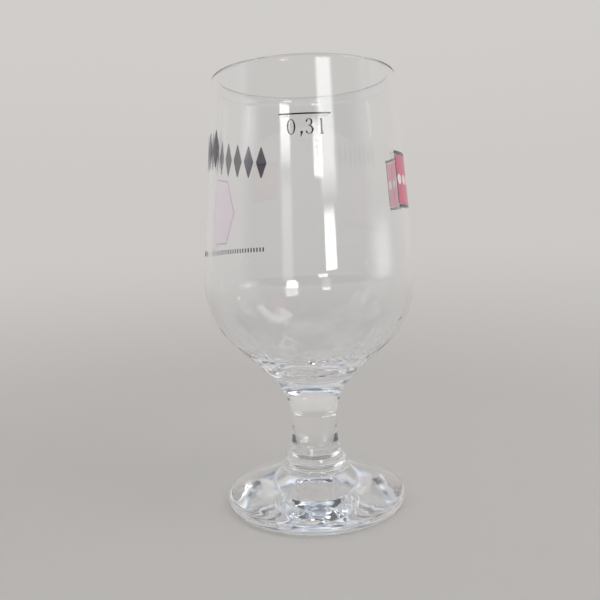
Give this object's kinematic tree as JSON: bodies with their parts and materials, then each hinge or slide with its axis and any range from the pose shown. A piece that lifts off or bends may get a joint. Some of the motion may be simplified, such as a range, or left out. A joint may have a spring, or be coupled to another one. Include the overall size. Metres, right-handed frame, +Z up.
{
  "type": "stemmed beer glass",
  "caption": "Clear stemmed beer glass: a tall tapered bowl with a round belly on a short solid waist and a thick collared foot, with a fill line and plain enamel prints.",
  "frame": {"origin": "on the table under the middle of the foot", "axes": "+Z up along the glass's axis, -Y towards the fill mark on the front"},
  "size_m": [0.078, 0.078, 0.1577],
  "materials": {
    "clear_glass": "clear, fire polished",
    "ink_enamel": "fired, half gloss",
    "slate_enamel": "fired, half gloss",
    "blush_enamel": "fired, half gloss",
    "rose_enamel": "fired, half gloss"
  },
  "bodies": {
    "root": {"foot": "clear_glass", "stem": "clear_glass", "bowl": "clear_glass", "fill_line": "ink_enamel", "frieze_lozenge_1": "slate_enamel", "frieze_lozenge_2": "slate_enamel", "frieze_lozenge_3": "slate_enamel", "frieze_lozenge_4": "slate_enamel", "frieze_lozenge_5": "slate_enamel", "frieze_lozenge_6": "slate_enamel", "frieze_lozenge_7": "slate_enamel", "frieze_lozenge_8": "slate_enamel", "frieze_lozenge_9": "slate_enamel", "medallion": "blush_enamel", "ground_line": "slate_enamel", "red_panel": "rose_enamel", "panel_border_upper": "slate_enamel", "panel_border_lower": "slate_enamel"}
  },
  "joints": []
}
